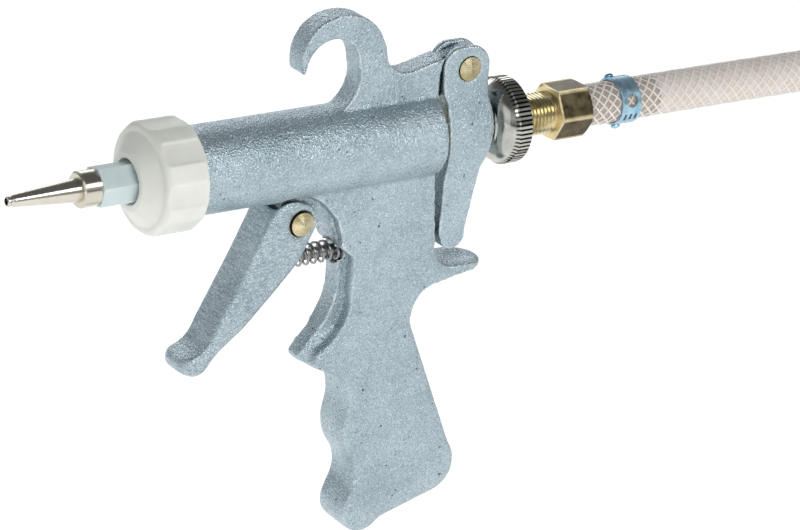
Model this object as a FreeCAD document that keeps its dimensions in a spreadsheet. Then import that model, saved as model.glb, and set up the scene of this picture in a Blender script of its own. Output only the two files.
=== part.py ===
import FreeCAD, Part
import math
import os
import Sketcher
from FreeCAD import Placement, Rotation, Vector

# Hose-fed dispensing gun with a hanging hook.
#
# Gun frame: +X forward to the nozzle, +Y to the gun's left, +Z up, with the barrel's axis on X and
# the barrel's rear face at X = 0. Every sub-part is drawn in this frame and then placed by the same
# offset, which puts the row's origin at the centre of the hook's inner arc.

DIMENSIONS = {
    # casting
    "hook_centre_x": 45.0, "hook_centre_z": 32.0, "hook_inner_radius": 10.95,
    "spine_width": 9.7, "grip_width": 18.0, "strap_width": 8.4,
    "barrel_radius": 16.0, "barrel_front_x": 112.0, "chamber_radius": 11.0, "chamber_rear_x": 6.0,
    "trigger_lug_width": 10.8, "lever_lug_width": 4.6, "tang_radius": 9.0,
    # pivots
    "trigger_pin_x": 55.5, "trigger_pin_z": -24.0, "lever_pin_x": -14.0, "lever_pin_z": 24.2,
    "pin_radius": 4.5, "pin_cone_height": 1.3, "running_gap": 0.05,
    # trigger and rear lever
    "trigger_width": 16.4, "trigger_inner_width": 11.4,
    "lever_width": 17.0, "lever_head_width": 10.6, "lever_slot_width": 5.1, "lever_eye_width": 11.2,
    # push rod and its spring
    "rod_z": -39.8, "rod_radius": 2.15, "rod_rear_x": -5.0, "rod_front_x": 61.9, "rod_collar_radius": 4.1,
    "rod_spring_radius": 3.65, "rod_wire_radius": 0.5, "rod_spring_rear_x": 34.6,
    "rod_spring_front_x": 55.2, "rod_spring_turns": 6.0,
    # feed tube, knob and return spring
    "tube_radius": 5.0, "tube_bore_radius": 2.8, "tube_front_x": 108.0,
    "thread_radius": 7.9, "thread_rear_x": -66.0, "thread_front_x": -26.6, "thread_pitch": 1.6,
    "knob_front_x": -25.3, "knob_rear_x": -37.0, "knob_rim_front_x": -31.1, "knob_radius": 16.2,
    "knob_hub_radius": 9.2, "knurl_count": 60.0,
    "return_spring_radius": 7.4, "return_wire_radius": 0.8, "return_spring_rear_x": 10.1,
    "return_spring_front_x": 43.8, "return_spring_turns": 7.0, "spring_collar_radius": 9.5,
    # gland
    "gland_rear_x": 52.0, "gland_front_x": 66.0,
    # front end
    "cap_radius": 20.3, "cap_rear_x": 102.0, "cap_shoulder_x": 116.1, "cap_rim_x": 119.0,
    "cap_nose_x": 124.2, "cap_lobe_count": 8.0, "gasket_thickness": 0.8,
    "holder_flange_radius": 14.6, "holder_front_x": 137.0, "holder_hex_radius": 7.7, "holder_hex_turn": 13.0,
    "holder_bore_radius": 2.2, "ferrule_radius": 6.5, "ferrule_front_x": 143.9,
    "tip_root_radius": 4.3, "tip_radius": 2.1, "tip_front_x": 171.0,
    # hose and its fittings
    "hose_radius": 8.25, "hose_bore_radius": 5.0, "hose_start_x": -69.0,
    "connector_front_x": -54.3, "connector_rear_x": -68.7, "connector_flats": 19.0,
    "barb_end_x": -100.0, "clamp_front_x": -83.2, "clamp_rear_x": -91.8, "clamp_thickness": 0.8,
    "coil_radius": 86.0, "coil_centre_x": -192.0, "bench_z": -340.0, "coil_turns": 2.5,
    "tail_x": -239.0, "tail_lift": 1.2,
}

doc = FreeCAD.newDocument("dispensing_gun")
sheet = doc.addObject("Spreadsheet::Sheet", "dims")
for row, (alias, value) in enumerate(DIMENSIONS.items(), start=1):
    sheet.set("A%d" % row, alias)
    sheet.set("B%d" % row, str(value))
    sheet.setAlias("B%d" % row, alias)
doc.recompute()


def dim(alias):
    """The value of one driving dimension."""
    return float(sheet.get(alias))


SUB_PARTS = []
ROOT_OFFSET = (("Placement.Base.x", "-dims.hook_centre_x"), ("Placement.Base.z", "-dims.hook_centre_z"))


def finish(sub_part, label):
    """Name a sub-part and shift it from the gun frame to the row's frame."""
    sub_part.Label = label
    for target, formula in ROOT_OFFSET:
        sub_part.setExpression(target, formula)
    SUB_PARTS.append(sub_part)
    return sub_part


def finish_shape(label, shape):
    """A sub-part made directly with Part's functions."""
    sub_part = doc.addObject("Part::Feature", label)
    sub_part.Shape = shape
    offset = Placement(Vector(-dim("hook_centre_x"), 0, -dim("hook_centre_z")), Rotation())
    sub_part.Placement = offset.multiply(shape.Placement)
    sub_part.Label = label
    SUB_PARTS.append(sub_part)
    return sub_part


# ---------------------------------------------------------------- sketch helpers

def body_plane(body, role):
    for feature in body.Origin.OriginFeatures:
        if feature.Role == role:
            return feature
    raise ValueError(role)


def new_body(name):
    return doc.addObject("PartDesign::Body", name)


def sketch_on(body, name, role, formula=None):
    """A sketch on one of the body's origin planes, moved along the plane's normal."""
    sketch = body.newObject("Sketcher::SketchObject", name)
    sketch.AttachmentSupport = [(body_plane(body, role), "")]
    sketch.MapMode = "FlatFace"
    if formula:
        sketch.setExpression("AttachmentOffset.Base.z", formula)
    return sketch


def draw(sketch, start, steps):
    """Draw a closed outline: a step of two numbers is a line, one of four is an arc through a point."""
    here = Vector(start[0], start[1], 0)
    for step in list(steps) + [tuple(start)]:
        there = Vector(step[-2], step[-1], 0)
        if there.distanceToPoint(here) < 1e-6:
            continue
        if len(step) == 4:
            edge = Part.Arc(here, Vector(step[0], step[1], 0), there)
        else:
            edge = Part.LineSegment(here, there)
        sketch.addGeometry(edge, False)
        here = there


def draw_circle(sketch, centre_x, centre_y, radius_formula):
    """A circle whose radius is bound to the sheet."""
    circle = Part.Circle(Vector(centre_x, centre_y, 0), Vector(0, 0, 1), 1.0)
    index = sketch.addGeometry(circle, False)
    constraint = sketch.addConstraint(Sketcher.Constraint("Radius", index, 1.0))
    sketch.setExpression("Constraints[%d]" % constraint, radius_formula)


def pad(body, sketch, name, length_formula, symmetric=False, reverse=False):
    feature = body.newObject("PartDesign::Pad", name)
    feature.Profile = sketch
    feature.SideType = "Symmetric" if symmetric else "One side"
    feature.Reversed = reverse
    feature.setExpression("Length", length_formula)
    doc.recompute()
    return feature


def pocket(body, sketch, name, length_formula, symmetric=False, reverse=False):
    """A pocket that is checked to have removed material."""
    before = body.Shape.Volume
    feature = body.newObject("PartDesign::Pocket", name)
    feature.Profile = sketch
    feature.SideType = "Symmetric" if symmetric else "One side"
    feature.Reversed = reverse
    feature.setExpression("Length", length_formula)
    doc.recompute()
    if not body.Shape.Volume < before - 1e-3:
        raise RuntimeError("%s cuts nothing" % name)
    return feature


def turned(name, profile):
    """A body turned about the gun's X axis from a profile of (x, radius) steps."""
    body = new_body(name)
    sketch = sketch_on(body, name + "_profile", "XZ_Plane")
    draw(sketch, profile[0], profile[1:])
    feature = body.newObject("PartDesign::Revolution", name + "_turned")
    feature.Profile = sketch
    feature.ReferenceAxis = (body_plane(body, "X_Axis"), [""])
    feature.Angle = 360
    doc.recompute()
    return body


def cylinder_x(name, radius_formula, start_formula, length_formula):
    """A Part cylinder along X, bound to the sheet."""
    solid = doc.addObject("Part::Cylinder", name)
    solid.setExpression("Radius", radius_formula)
    solid.setExpression("Height", length_formula)
    solid.Placement = Placement(Vector(0, 0, 0), Rotation(Vector(0, 1, 0), 90))
    solid.setExpression("Placement.Base.x", start_formula)
    return solid


def ring_x(label, outer_formula, inner_formula, start_formula, length_formula):
    """A plain ring about the barrel's axis: one cylinder cut from another."""
    cut = doc.addObject("Part::Cut", label)
    cut.Base = cylinder_x(label + "_outer", outer_formula, start_formula, length_formula)
    cut.Tool = cylinder_x(label + "_hole", inner_formula, start_formula, length_formula)
    doc.recompute()
    return finish(cut, label)


# ---------------------------------------------------------------- casting

def make_gun_body():
    """One casting: grip with web and tang, front strap, spine with hook, barrel."""
    body = new_body("gun_body_casting")

    # The thick slab: web under the barrel, front lug, grip and tang.
    slab = sketch_on(body, "grip_outline", "XZ_Plane")
    draw(slab, (0.5, -8.0), [
        (-2.6, -40.0), (-4.6, -47.4, -13.5, -51.2), (-27.5, -51.6), (-27.5, -53.8), (-14.0, -55.2),
        (-5.0, -57.0), (3.6, -62.5, 3.9, -73.0), (-17.5, -124.0), (-19.6, -136.0, -9.8, -143.6),
        (12.0, -149.6), (25.5, -151.5, 28.2, -141.5), (26.6, -137.5), (24.4, -130.0, 27.6, -121.0),
        (31.0, -113.0, 30.4, -104.0), (30.0, -97.0, 33.6, -88.2), (41.0, -84.6), (47.0, -81.8),
        (45.0, -76.0), (36.0, -68.5, 32.9, -55.0), (32.9, -40.5), (37.6, -36.6), (39.4, -33.0),
        (42.6, -27.0, 48.5, -25.5), (50.5, -31.0, 56.5, -31.6), (62.8, -30.0, 64.2, -23.0),
        (64.0, -18.0), (63.2, -14.0), (72.0, -14.0), (72.0, -8.0)])
    pad(body, slab, "grip_slab", "dims.grip_width", symmetric=True)

    # The narrow strap in front of the grip, with its spur.
    strap_sketch = sketch_on(body, "strap_outline", "XZ_Plane")
    draw(strap_sketch, (30.0, -34.0), [
        (38.6, -36.0), (37.4, -42.0), (38.2, -61.0, 44.6, -70.6), (49.6, -76.2), (51.0, -78.8, 48.4, -80.8),
        (40.0, -85.0), (30.0, -85.0)])
    pad(body, strap_sketch, "front_strap", "dims.strap_width", symmetric=True)

    # Spine along the barrel's top, rising into the hook in front and the lever's lug behind.
    hook_x, hook_z = dim("hook_centre_x"), dim("hook_centre_z")
    inner = dim("hook_inner_radius")
    pin_x, pin_z = dim("lever_pin_x"), dim("lever_pin_z")
    lug = 8.0
    spine = sketch_on(body, "spine_outline", "XZ_Plane")
    draw(spine, (44.0, 8.0), [
        (40.5, 15.4), (34.6, 21.5, hook_x - inner, hook_z),
        (hook_x, hook_z + inner, hook_x + inner, hook_z), (57.3, 31.0),
        (54.8, 45.6, 42.0, 51.3), (31.6, 48.9, 25.0, 42.4), (22.3, 36.5), (18.4, 28.2, 11.0, 26.4),
        (-5.0, 30.2), (pin_x + 3.2, pin_z + 7.4), (pin_x - 5.0, pin_z + 6.2, pin_x - lug, pin_z),
        (pin_x, pin_z - lug, pin_x + 5.5, pin_z - 5.8), (-4.5, 15.2), (0.5, 13.0), (0.5, 8.0)])
    pad(body, spine, "spine_and_hook", "dims.spine_width", symmetric=True)

    barrel = sketch_on(body, "barrel_section", "YZ_Plane")
    draw_circle(barrel, 0, 0, "dims.barrel_radius")
    pad(body, barrel, "barrel", "dims.barrel_front_x")

    bore = sketch_on(body, "chamber_section", "YZ_Plane", formula="dims.barrel_front_x")
    draw_circle(bore, 0, 0, "dims.chamber_radius")
    pocket(body, bore, "chamber", "dims.barrel_front_x - dims.chamber_rear_x")
    rear_hole = sketch_on(body, "rear_hole_section", "YZ_Plane", formula="dims.chamber_rear_x")
    draw_circle(rear_hole, 0, 0, "dims.tube_radius + 3")
    pocket(body, rear_hole, "rear_hole", "dims.chamber_rear_x + 8")

    # Both sides are recessed round the trigger's pin and round the lever's head.
    tx, tz = dim("trigger_pin_x"), dim("trigger_pin_z")
    for side, sign in (("left", -1), ("right", 1)):
        recess = sketch_on(body, "trigger_recess_" + side, "XZ_Plane",
                           formula="%d * dims.trigger_lug_width / 2" % sign)
        draw(recess, (tx + 13.6, tz + 8.4), [
            (tx + 3.0, tz + 11.2, tx - 8.6, tz + 6.2), (41.0, -24.5), (38.0, -33.5), (44.0, -40.0),
            (80.0, -40.0), (80.0, tz + 8.4)])
        pocket(body, recess, "trigger_clearance_" + side, "dims.grip_width", reverse=(sign > 0))
        head = sketch_on(body, "lever_recess_" + side, "XZ_Plane",
                         formula="%d * dims.lever_lug_width / 2" % sign)
        draw(head, (pin_x + 11.6, pin_z - 11.5), [
            (pin_x + 12.3, pin_z, pin_x + 9.4, pin_z + 9.0), (pin_x - 2.0, pin_z + 14.0),
            (pin_x - 14.0, pin_z + 14.0), (pin_x - 14.0, pin_z - 11.5)])
        pocket(body, head, "lever_clearance_" + side, "dims.spine_width", reverse=(sign > 0))

    # The tang under the lever is a rounded tongue.
    tongue = dim("tang_radius")
    centre_x = -27.5 + tongue
    tang = sketch_on(body, "tang_trim", "XY_Plane", formula="-45")
    draw(tang, (centre_x, tongue), [
        (centre_x - tongue, 0, centre_x, -tongue), (centre_x, -14.0), (-36.0, -14.0), (-36.0, 14.0),
        (centre_x, 14.0)])
    pocket(body, tang, "tang_round", "11.5")

    # Pin holes, the push rod's bore and its spring seat.
    for name, x, z in (("trigger", tx, tz), ("lever", pin_x, pin_z)):
        hole = sketch_on(body, name + "_pin_section", "XZ_Plane")
        draw_circle(hole, x, z, "dims.pin_radius")
        pocket(body, hole, name + "_pin_hole", "dims.grip_width + 4", symmetric=True)
    rod_bore = sketch_on(body, "rod_bore_section", "YZ_Plane", formula="45")
    draw_circle(rod_bore, 0, dim("rod_z"), "dims.rod_radius + dims.running_gap")
    pocket(body, rod_bore, "rod_bore", "60")
    seat = sketch_on(body, "spring_seat_section", "YZ_Plane", formula="45")
    draw_circle(seat, 0, dim("rod_z"), "dims.rod_spring_radius + 1.2")
    pocket(body, seat, "spring_seat", "45 - dims.rod_spring_rear_x + 0.1")
    return finish(body, "gun_body")


# ---------------------------------------------------------------- trigger and rear lever

def make_trigger():
    """A channel: front plate, two flanges pinned to the front lug, and a bridge for the push rod."""
    body = new_body("trigger_channel")
    tx, tz = dim("trigger_pin_x"), dim("trigger_pin_z")
    outline = sketch_on(body, "trigger_outline", "XZ_Plane")
    draw(outline, (68.6, -20.3), [
        (76.2, -36.0), (89.6, -61.0), (93.2, -66.6, 99.4, -69.2), (102.2, -72.4, 99.2, -75.8),
        (94.6, -76.4, 90.0, -72.0), (85.9, -68.0), (76.8, -61.1), (62.4, -46.6), (54.8, -38.4),
        (51.6, -31.8), (49.2, -27.0), (48.9, -20.4, 54.4, -16.2), (59.6, -14.6, 65.4, -16.6)])
    pad(body, outline, "trigger_solid", "dims.trigger_width", symmetric=True)

    hollow = sketch_on(body, "channel_outline", "XZ_Plane")
    draw(hollow, (64.3, -12.0), [
        (66.4, -20.6), (73.7, -36.8), (86.8, -61.6), (84.0, -72.0), (60.0, -60.0), (40.0, -40.0), (40.0, -12.0)])
    pocket(body, hollow, "channel", "dims.trigger_inner_width", symmetric=True)

    # The finger end is rounded in plan.
    end = sketch_on(body, "finger_end_trim", "XY_Plane", formula="-60")
    draw(end, (96.0, 8.3), [
        (100.2, 6.9, 102.0, 3.2), (102.0, -3.2), (100.2, -6.9, 96.0, -8.3), (110.0, -8.3), (110.0, 8.3)])
    pocket(body, end, "finger_end", "30")

    bridge = sketch_on(body, "bridge_outline", "XZ_Plane")
    bridge_x = dim("rod_front_x") + 3.4
    bridge_z = dim("rod_z")
    draw(bridge, (bridge_x + 2.0, bridge_z + 3.2), [
        (bridge_x - 3.2, bridge_z, bridge_x + 2.0, bridge_z - 3.2), (78.0, bridge_z - 3.2),
        (75.0, bridge_z + 3.2)])
    pad(body, bridge, "rod_bridge", "dims.trigger_inner_width + 1", symmetric=True)

    hole = sketch_on(body, "trigger_hole_section", "XZ_Plane")
    draw_circle(hole, tx, tz, "dims.pin_radius + dims.running_gap")
    pocket(body, hole, "trigger_hole", "dims.trigger_width + 4", symmetric=True)
    return finish(body, "trigger")


def make_rear_lever():
    """Forked lever: narrow head on the lug, wide waist with an eye for the feed tube, plain foot."""
    body = new_body("rear_lever_fork")
    px, pz = dim("lever_pin_x"), dim("lever_pin_z")
    outline = sketch_on(body, "lever_outline", "XZ_Plane")
    draw(outline, (-4.6, 12.4), [
        (-3.3, 15.4), (px + 11.0, pz - 1.0), (px + 9.6, pz + 6.0, px + 1.6, pz + 8.4),
        (px - 5.4, pz + 7.0, px - 8.8, pz - 0.6), (-22.6, 13.0), (-24.9, -2.0, -20.6, -13.4),
        (-18.3, -24.4), (-16.2, -37.8),
        (-12.0, -44.6, -5.6, -40.2), (-4.7, -37.9), (-4.6, -18.0), (-6.0, -6.0)])
    pad(body, outline, "lever_solid", "dims.lever_width", symmetric=True)

    # Each side slopes in towards the narrow head, and a little towards the foot.
    half, head_half = dim("lever_width") / 2, dim("lever_head_width") / 2
    for side, sign in (("left", 1), ("right", -1)):
        slope = sketch_on(body, "cheek_slope_" + side, "YZ_Plane")
        draw(slope, (sign * head_half, 40.0), [
            (sign * head_half, 19.0), (sign * half, 1.5), (sign * half, -12.0), (sign * (half - 1.0), -48.0),
            (sign * (half + 3.0), -48.0), (sign * (half + 3.0), 40.0)])
        pocket(body, slope, "cheek_" + side, "80", symmetric=True)

    lug_slot = sketch_on(body, "lug_slot_section", "YZ_Plane")
    slot_half = dim("lever_slot_width") / 2
    draw(lug_slot, (slot_half, 40.0), [(slot_half, 14.6), (-slot_half, 14.6), (-slot_half, 40.0)])
    pocket(body, lug_slot, "lug_slot", "80", symmetric=True)

    eye = sketch_on(body, "tube_eye_section", "YZ_Plane")
    eye_half = dim("lever_eye_width") / 2
    draw(eye, (eye_half, 1.6), [
        (0, 1.6 + eye_half, -eye_half, 1.6), (-eye_half, -1.6), (0, -1.6 - eye_half, eye_half, -1.6)])
    pocket(body, eye, "tube_eye", "80", symmetric=True)

    hole = sketch_on(body, "lever_hole_section", "XZ_Plane")
    draw_circle(hole, px, pz, "dims.pin_radius + dims.running_gap")
    pocket(body, hole, "lever_hole", "dims.lever_width + 4", symmetric=True)
    return finish(body, "rear_lever")


def make_pin(label, x_alias, z_alias, width_alias):
    """A brass pivot pin with turned cone ends that stand just proud of the cheeks."""
    half = dim(width_alias) / 2 + 0.2
    radius = dim("pin_radius")
    cone = dim("pin_cone_height")
    body = new_body(label + "_turned")
    sketch = sketch_on(body, label + "_profile", "YZ_Plane", formula="dims." + x_alias)
    z = dim(z_alias)
    draw(sketch, (-half - cone, z), [
        (-half, z + radius), (half, z + radius), (half + cone, z)])
    feature = body.newObject("PartDesign::Revolution", label + "_turning")
    feature.Profile = sketch
    feature.ReferenceAxis = (sketch, ["Edge4"])
    feature.Angle = 360
    doc.recompute()
    return finish(body, label)


# ---------------------------------------------------------------- springs

def coil_spring(label, axis_z, radius, wire, start_x, end_x, turns):
    """A round-wire helix about an axis along X, with plain ends."""
    length = end_x - start_x - 2 * wire
    helix = Part.makeHelix(length / turns, length, radius)
    section = Part.Wire([Part.makeCircle(wire, Vector(radius, 0, 0), Vector(0, 1, 0))])
    spring = Part.Wire(helix.Edges).makePipeShell([section], True, True)
    spring.rotate(Vector(0, 0, 0), Vector(0, 1, 0), 90)
    spring.translate(Vector(start_x + wire, 0, axis_z))
    return finish_shape(label, spring)


def make_springs():
    coil_spring("trigger_spring", dim("rod_z"), dim("rod_spring_radius"), dim("rod_wire_radius"),
                dim("rod_spring_rear_x") + 0.1, dim("rod_spring_front_x"), dim("rod_spring_turns"))
    coil_spring("return_spring", 0.0, dim("return_spring_radius"), dim("return_wire_radius"),
                dim("return_spring_rear_x"), dim("return_spring_front_x"), dim("return_spring_turns"))


# ---------------------------------------------------------------- push rod

def make_push_rod():
    """Steel rod from the trigger's bridge to the lever's foot, with a collar that holds the spring."""
    z = dim("rod_z")
    radius = dim("rod_radius")
    collar_x = dim("rod_spring_front_x") + 0.1
    body = new_body("push_rod_turned")
    sketch = sketch_on(body, "push_rod_profile", "XZ_Plane")
    rear, front = dim("rod_rear_x"), dim("rod_front_x")
    draw(sketch, (rear, z), [
        (rear + 0.6, z + 1.5, rear + 1.6, z + radius), (collar_x, z + radius),
        (collar_x, z + dim("rod_collar_radius")), (collar_x + 2.0, z + dim("rod_collar_radius")),
        (collar_x + 2.0, z + radius), (front - 1.0, z + radius), (front, z)])
    feature = body.newObject("PartDesign::Revolution", "push_rod_turning")
    feature.Profile = sketch
    feature.ReferenceAxis = (sketch, ["Edge8"])
    feature.Angle = 360
    doc.recompute()
    return finish(body, "push_rod")


# ---------------------------------------------------------------- feed tube group

def make_feed_tube():
    """Hollow brass tube: a plain front part slides in the barrel, a threaded rear part holds the knob."""
    bore = dim("tube_bore_radius")
    outer, thread = dim("tube_radius"), dim("thread_radius")
    pitch = dim("thread_pitch")
    root = thread - 0.9
    front_x = dim("thread_front_x")
    rear_x = dim("thread_rear_x")
    profile = [(rear_x, bore), (rear_x, root), (rear_x + 0.8, thread)]
    crest_x = dim("connector_front_x") + 1.5
    while crest_x + pitch < dim("knob_rear_x") - 0.8:
        profile += [(crest_x, thread), (crest_x + 0.40 * pitch, root), (crest_x + 0.60 * pitch, root),
                    (crest_x + pitch, thread)]
        crest_x += pitch
    profile += [(front_x - 0.8, thread), (front_x, root), (front_x, outer),
                (dim("tube_front_x"), outer), (dim("tube_front_x"), bore)]
    body = turned("feed_tube_turned", profile)
    flat = sketch_on(body, "thread_flat_section", "XY_Plane", formula="dims.thread_radius - 0.75")
    draw(flat, (crest_x + 0.2, -9.0), [
        (crest_x + 0.2, 9.0), (dim("connector_front_x") + 0.6, 9.0), (dim("connector_front_x") + 0.6, -9.0)])
    pocket(body, flat, "thread_flat", "6", reverse=True)
    return finish(body, "feed_tube")


def make_knob():
    """Chromed adjusting knob: a domed front that the lever pushes and a straight-knurled rim."""
    front, rear = dim("knob_front_x"), dim("knob_rear_x")
    rim, radius = dim("knob_rim_front_x"), dim("knob_radius")
    hub = dim("knob_hub_radius")
    hole = dim("thread_radius") + dim("running_gap")
    body = turned("adjusting_knob_turned", [
        (rear + 0.8, hole), (rear + 0.8, hole + 3.0), (rear, hole + 3.6), (rear, radius - 0.5),
        (rear + 0.5, radius), (rim - 0.4, radius), (rim, radius - 0.6),
        (rim + 3.2, radius - 2.6, front - 0.5, hub), (front, hub - 0.7), (front, hole)])
    count = int(dim("knurl_count"))
    groove = sketch_on(body, "knurl_section", "YZ_Plane", formula="dims.knob_rear_x - 1")
    draw(groove, (radius - 0.55, 0.0), [(radius + 0.4, -0.62), (radius + 0.4, 0.62)])
    cut = pocket(body, groove, "knurl", "dims.knob_rim_front_x - dims.knob_rear_x + 0.6", reverse=True)
    pattern = body.newObject("PartDesign::PolarPattern", "knurls")
    pattern.Originals = [cut]
    pattern.Axis = (body_plane(body, "X_Axis"), [""])
    pattern.Angle = 360
    pattern.Occurrences = count
    body.Tip = pattern
    doc.recompute()
    return finish(body, "adjusting_knob")


def make_barrel_inner():
    """What sits in the barrel: rear bush, spring collar, gland parts and the valve."""
    bush = turned("rear_bush_turned", [
        (-2.0, dim("tube_radius") + dim("running_gap")), (-2.0, 9.6), (-0.02, 9.6), (-0.02, 7.98),
        (8.0, 7.98), (8.0, 10.4), (10.0, 10.4), (10.0, dim("tube_radius") + dim("running_gap"))])
    finish(bush, "rear_bush")
    ring_x("spring_collar", "dims.spring_collar_radius", "dims.tube_radius",
           "dims.return_spring_front_x + 0.1", "3")
    ring_x("gland_washer", "dims.chamber_radius - 0.02", "dims.tube_radius + 0.4", "dims.gland_rear_x", "2")
    ring_x("gland_packing", "dims.chamber_radius - 0.02", "dims.tube_radius + dims.running_gap",
           "dims.gland_rear_x + 2", "6")
    ring_x("gland_nut", "dims.chamber_radius - 0.02", "dims.tube_radius + 0.4",
           "dims.gland_rear_x + 8", "dims.gland_front_x - dims.gland_rear_x - 8")
    front = dim("tube_front_x")
    valve = turned("valve_cone_turned", [
        (front - 6.0, 0.0), (front - 6.0, dim("tube_bore_radius")), (front, dim("tube_bore_radius")),
        (front, 4.6), (front + 1.5, 4.6), (front + 5.2, 1.0), (front + 5.2, 0.0)])
    finish(valve, "valve_cone")


# ---------------------------------------------------------------- front end

def make_front_cap():
    """Nylon union cap with shallow grip lobes and a conical face round the stub."""
    outer, rear = dim("cap_radius"), dim("cap_rear_x")
    rim, nose = dim("cap_rim_x"), dim("cap_nose_x")
    skirt = dim("barrel_radius") + dim("running_gap")
    shoulder = dim("cap_shoulder_x")
    body = turned("front_cap_turned", [
        (rear, skirt), (rear, outer - 1.2), (rear + 1.2, outer), (rim - 3.4, outer),
        (rim - 0.6, outer - 0.9, rim, outer - 3.4), (nose, 10.4), (nose, dim("holder_hex_radius") + 0.5),
        (shoulder, dim("holder_hex_radius") + 0.5), (shoulder, skirt)])
    count = int(dim("cap_lobe_count"))
    groove = sketch_on(body, "lobe_section", "YZ_Plane", formula="dims.cap_rear_x - 1")
    draw(groove, (outer - 0.75, -4.2), [
        (outer - 0.95, 0.0, outer - 0.75, 4.2), (outer + 1.5, 6.0), (outer + 1.5, -6.0)])
    cut = pocket(body, groove, "lobe_groove", "24", reverse=True)
    pattern = body.newObject("PartDesign::PolarPattern", "lobe_grooves")
    pattern.Originals = [cut]
    pattern.Axis = (body_plane(body, "X_Axis"), [""])
    pattern.Angle = 360
    pattern.Occurrences = count
    body.Tip = pattern
    doc.recompute()
    return finish(body, "front_cap")


def hexagon(radius, turn=0.0):
    """Corner points of a hexagon, turned from the position with flats at its top and bottom."""
    angles = [math.radians(60 * k + turn) for k in range(6)]
    return [(radius * math.cos(angle), radius * math.sin(angle)) for angle in angles]


def make_nozzle():
    """Valve-seat holder with its hexagonal stub, the ferrule nut and the tapered tip."""
    flange = dim("holder_flange_radius")
    bore = dim("holder_bore_radius")
    rear = dim("barrel_front_x") + dim("gasket_thickness")
    step, front = dim("cap_shoulder_x") - 0.1, dim("holder_front_x")
    spigot = dim("ferrule_front_x") - 1.0
    body = turned("nozzle_holder_turned", [
        (rear, 4.9), (rear, flange), (step, flange), (step, 6.6), (front, 6.6), (front, 4.3),
        (spigot, 4.3), (spigot, bore), (step - 1.0, bore)])
    stub = sketch_on(body, "stub_section", "YZ_Plane", formula="dims.cap_shoulder_x - 0.1")
    corners = hexagon(dim("holder_hex_radius"), dim("holder_hex_turn"))
    draw(stub, corners[0], corners[1:])
    stub_pad = body.newObject("PartDesign::Pad", "hex_stub")
    stub_pad.Profile = stub
    stub_pad.setExpression("Length", "dims.holder_front_x - dims.cap_shoulder_x + 0.1")
    doc.recompute()
    stub_bore = sketch_on(body, "stub_bore_section", "YZ_Plane", formula="dims.cap_shoulder_x - 1.1")
    draw_circle(stub_bore, 0, 0, "dims.holder_bore_radius")
    pocket(body, stub_bore, "stub_bore", "40", reverse=True)
    finish(body, "nozzle_holder")

    ferrule = turned("ferrule_nut_turned", [
        (dim("holder_front_x") + 0.05, 4.35), (dim("holder_front_x") + 0.05, dim("ferrule_radius")),
        (dim("ferrule_front_x") - 0.6, dim("ferrule_radius")),
        (dim("ferrule_front_x"), dim("ferrule_radius") - 0.6), (dim("ferrule_front_x"), 3.9),
        (spigot + 0.05, 3.9), (spigot + 0.05, 4.35)])
    finish(ferrule, "ferrule_nut")

    tip = turned("nozzle_tip_turned", [
        (spigot + 0.05, 1.3), (spigot + 0.05, 3.85), (dim("ferrule_front_x"), 3.85),
        (dim("ferrule_front_x"), dim("tip_root_radius")), (dim("tip_front_x") - 2.6, dim("tip_radius") + 0.1),
        (dim("tip_front_x") - 1.6, 1.5), (dim("tip_front_x") - 1.0, 1.9), (dim("tip_front_x") - 0.3, 1.8),
        (dim("tip_front_x"), 1.3)])
    finish(tip, "nozzle_tip")
    ring_x("cap_gasket", "dims.barrel_radius - 0.6", "dims.chamber_radius", "dims.barrel_front_x",
           "dims.gasket_thickness")


# ---------------------------------------------------------------- hose connector and clamp

def make_connector():
    """Hexagonal hose nut with a barbed spigot that the hose is pushed over."""
    front, rear = dim("connector_front_x"), dim("connector_rear_x")
    corner = dim("connector_flats") / math.sqrt(3)
    chamfer = dim("connector_flats") / 2
    thread = dim("thread_radius") + 0.02
    barb = dim("hose_bore_radius") - 0.02
    end = dim("barb_end_x")
    rear_thread = dim("thread_rear_x") - 0.02
    profile = [(front, thread), (front, chamfer + 0.1), (front - 0.9, corner), (rear + 0.9, corner),
               (rear, chamfer + 0.1), (rear, barb)]
    step = (rear - end) / 5.0
    for k in range(5):
        start = rear - k * step
        profile += [(start - 0.75 * step, barb - 0.5), (start - step, barb - 0.5 if k == 4 else barb)]
    profile += [(end, 3.2), (rear_thread, 3.2), (rear_thread, thread)]
    body = turned("hose_connector_turned", profile)
    trim = sketch_on(body, "hex_trim_section", "YZ_Plane", formula="dims.connector_rear_x")
    corners = hexagon(corner)
    draw(trim, corners[0], corners[1:])
    trim.addGeometry(Part.Circle(Vector(0, 0, 0), Vector(0, 0, 1), corner + 4), False)
    pocket(body, trim, "hex_flats", "dims.connector_front_x - dims.connector_rear_x", reverse=True)
    return finish(body, "hose_connector")


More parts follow.
